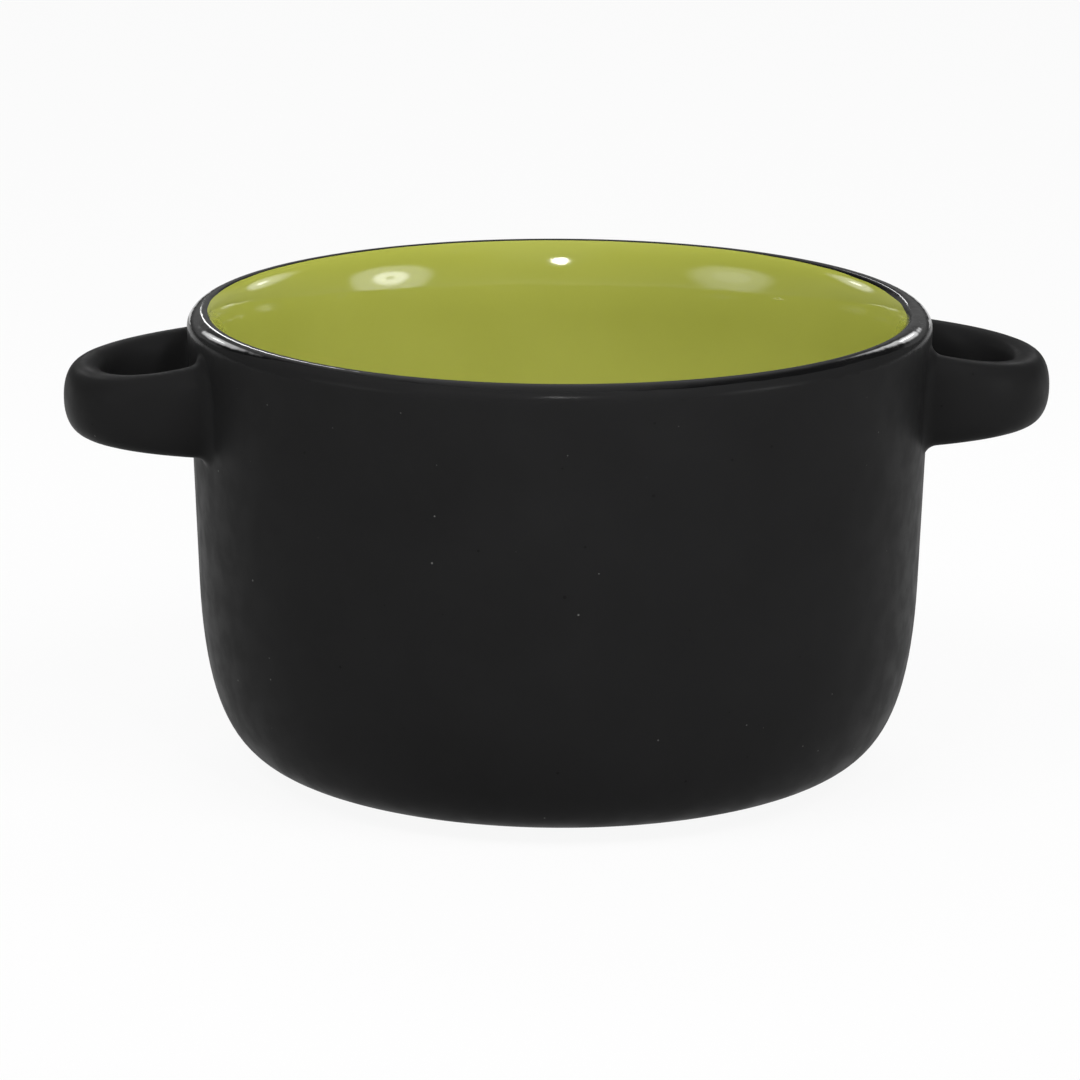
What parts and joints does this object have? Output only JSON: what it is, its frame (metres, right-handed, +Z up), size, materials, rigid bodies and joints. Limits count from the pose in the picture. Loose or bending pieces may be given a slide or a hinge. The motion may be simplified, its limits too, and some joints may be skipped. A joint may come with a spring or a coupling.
{
  "type": "soup bowl",
  "caption": "Deep round stoneware soup bowl with a loop handle on each side, satin black outside, gloss black rim and glossy green inside.",
  "frame": {"origin": "centre of the foot ring, on the surface the bowl stands on", "axes": "+X through the right handle, +Y to the rear, +Z up along the bowl's axis"},
  "size_m": [0.156, 0.1172, 0.0731],
  "materials": {
    "stoneware": "bare fired stoneware, matte and slightly gritty",
    "slip": "fired joining slip, matte",
    "satin_black_glaze": "satin black glaze",
    "gloss_black_glaze": "gloss black glaze",
    "green_glaze": "gloss lime green liner glaze"
  },
  "bodies": {
    "root": {"bowl_body": "stoneware", "liner_glaze": "green_glaze", "rim_glaze": "gloss_black_glaze", "outside_glaze": "satin_black_glaze", "right_handle": "stoneware", "right_front_slip": "slip", "right_rear_slip": "slip", "left_handle": "stoneware", "left_front_slip": "slip", "left_rear_slip": "slip"}
  },
  "joints": []
}
